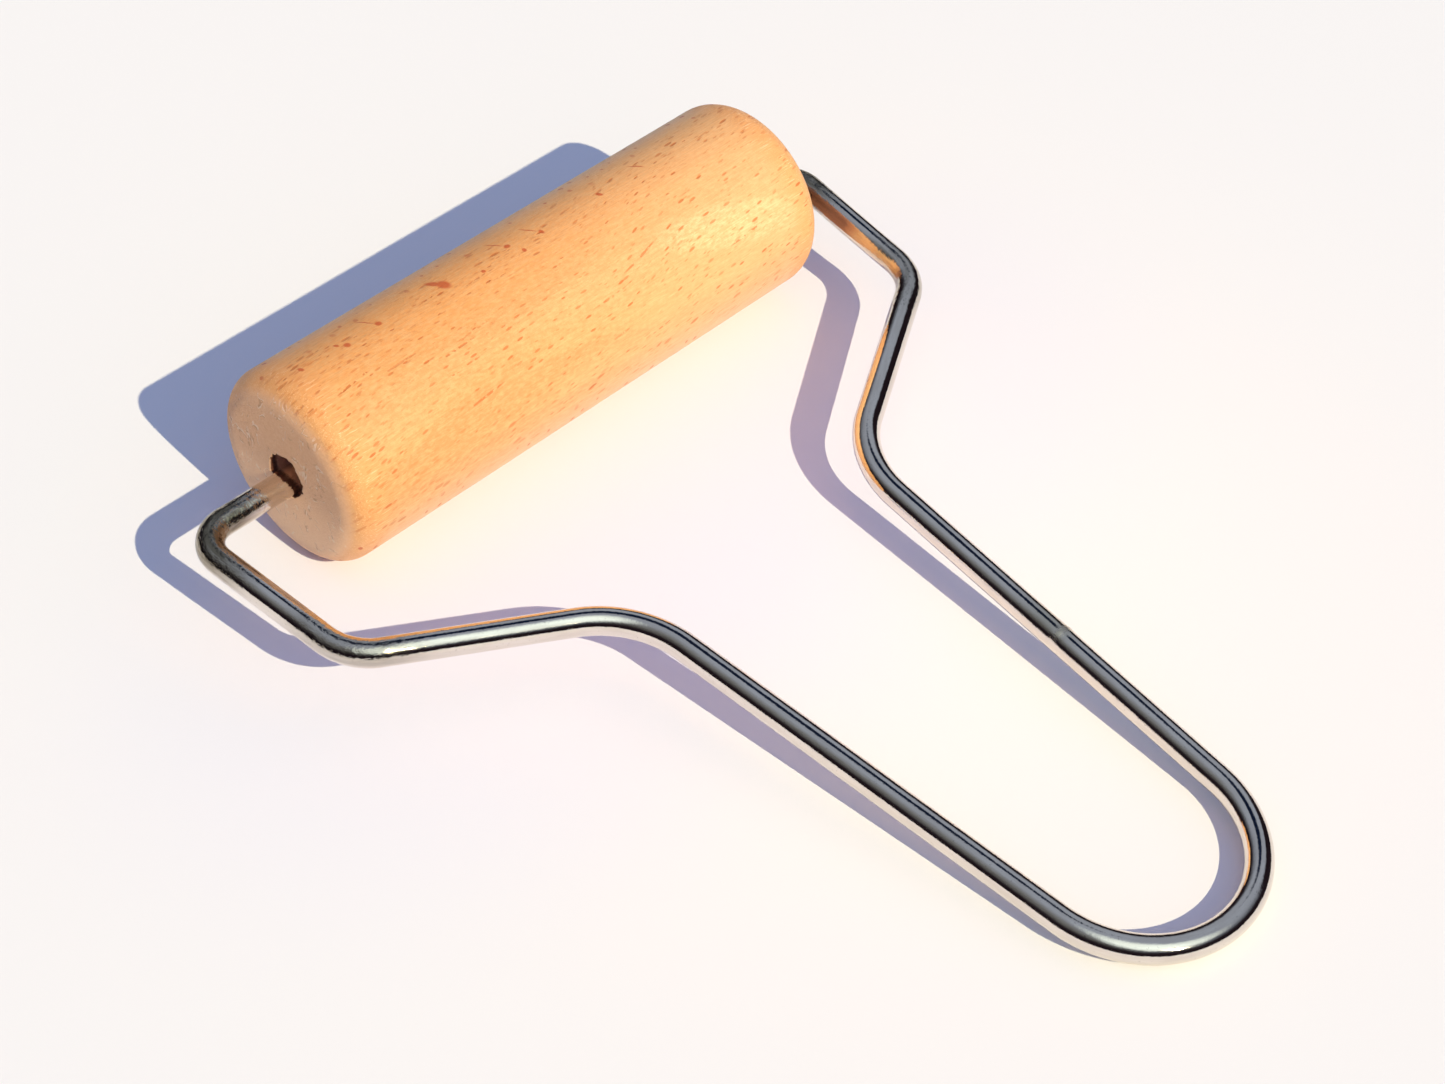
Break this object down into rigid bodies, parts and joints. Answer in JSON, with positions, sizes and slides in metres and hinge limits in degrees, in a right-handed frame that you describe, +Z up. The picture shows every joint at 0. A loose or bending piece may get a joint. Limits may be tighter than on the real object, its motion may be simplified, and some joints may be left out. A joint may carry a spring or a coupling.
{
  "type": "wooden hand roller",
  "caption": "Hand roller: a plain turned wooden barrel that spins on a closed loop of bent bright wire, which is axle, yoke and handle in one.",
  "frame": {"origin": "bottom centre of the whole tool's bounding box, on the surface that it stands on", "axes": "+X along the roller's axis, +Y from the handle's end towards the roller, +Z up; the wire frame slopes down from the axle to the handle's end"},
  "size_m": [0.1606, 0.2002, 0.04],
  "materials": {
    "beech": "clear satin lacquer over turned beech, end grain and bore left duller",
    "bright_plated_wire": "bright plated steel wire with fine bending marks"
  },
  "bodies": {
    "wire_frame": {"wire_frame": "bright_plated_wire"},
    "roller": {"roller": "beech"}
  },
  "joints": [
    {"name": "roller_spin", "type": "hinge", "parent": "wire_frame", "child": "roller", "pos_m": [0.0055, 0.08011, 0.02], "axis": [1, 0, 0], "continuous": true}
  ]
}
